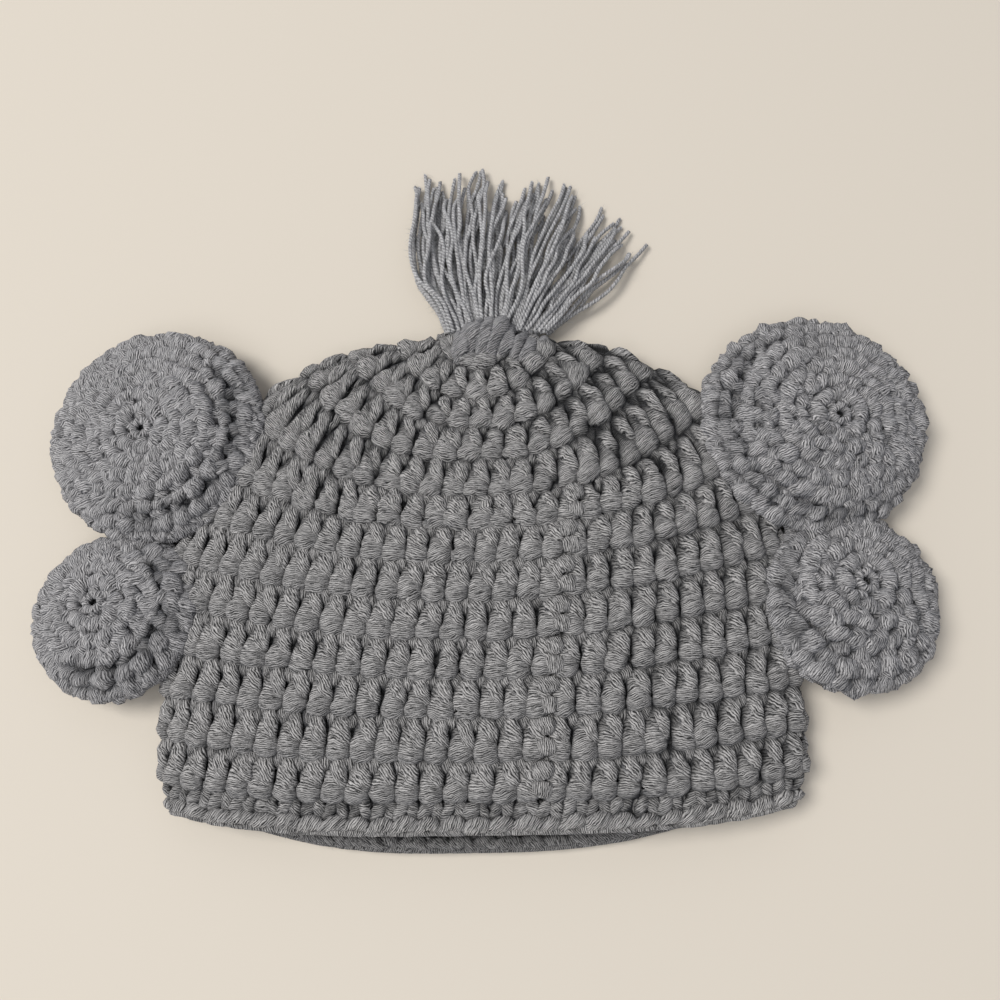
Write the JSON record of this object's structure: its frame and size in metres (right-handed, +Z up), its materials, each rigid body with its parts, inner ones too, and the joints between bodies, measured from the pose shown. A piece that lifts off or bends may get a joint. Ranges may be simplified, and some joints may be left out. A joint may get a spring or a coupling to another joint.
{
  "type": "baby hat with ears",
  "caption": "Flat-lying crocheted baby hat with round stuffed ears at both sides, an edged open mouth and a cut yarn tassel at the crown.",
  "frame": {"origin": "on the surface the hat lies on, midway between the side folds and midway between front rim and crown top", "axes": "+X to the right across the hat, +Y from the mouth to the crown top, +Z up from the surface"},
  "size_m": [0.2682, 0.2155, 0.0189],
  "materials": {
    "crown_yarn": "matt mid-grey plied acrylic yarn in double crochet rounds",
    "edging_yarn": "matt mid-grey plied acrylic yarn in a short edging round",
    "ear_yarn": "matt, slightly felted mid-grey yarn in close rounds over stuffing",
    "tassel_yarn": "cut two-ply grey strands with loose fuzzy ends"
  },
  "bodies": {
    "root": {"crown": "crown_yarn", "rim_edging": "edging_yarn", "ear_upper_left": "ear_yarn", "ear_upper_right": "ear_yarn", "ear_lower_left": "ear_yarn", "ear_lower_right": "ear_yarn", "tassel": "tassel_yarn"}
  },
  "joints": []
}
